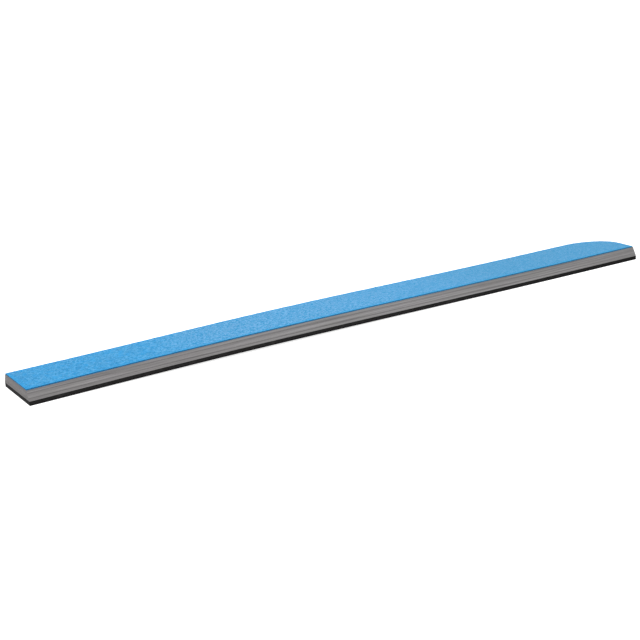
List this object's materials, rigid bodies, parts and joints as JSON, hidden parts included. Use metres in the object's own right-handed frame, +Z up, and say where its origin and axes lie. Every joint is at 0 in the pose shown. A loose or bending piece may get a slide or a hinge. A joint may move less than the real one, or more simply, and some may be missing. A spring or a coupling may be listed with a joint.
{
  "type": "squeegee applicator strip",
  "caption": "Long flat applicator strip with a felt wiping face on a laminated foam body, leaning flanks, a firm base and one rounded corner.",
  "frame": {"origin": "middle of the underside of the base strip, which is the middle of the bounding box's bottom face", "axes": "+X along the strip towards the end with the rounded corner, +Y across it towards that corner, +Z up through the felt face"},
  "size_m": [0.711, 0.07, 0.0145],
  "materials": {
    "blue_felt": "matte needled felt",
    "grey_foam": "matte closed-cell foam with a knife-cut edge",
    "black_rubber": "matte, fine-grained",
    "adhesive": "satin film"
  },
  "bodies": {
    "root": {"felt_facing": "blue_felt", "felt_bond_film": "adhesive", "upper_foam_ply": "grey_foam", "upper_bond_film": "adhesive", "middle_foam_ply": "grey_foam", "lower_bond_film": "adhesive", "lower_foam_ply": "grey_foam", "base_bond_film": "adhesive", "base_strip": "black_rubber"}
  },
  "joints": []
}
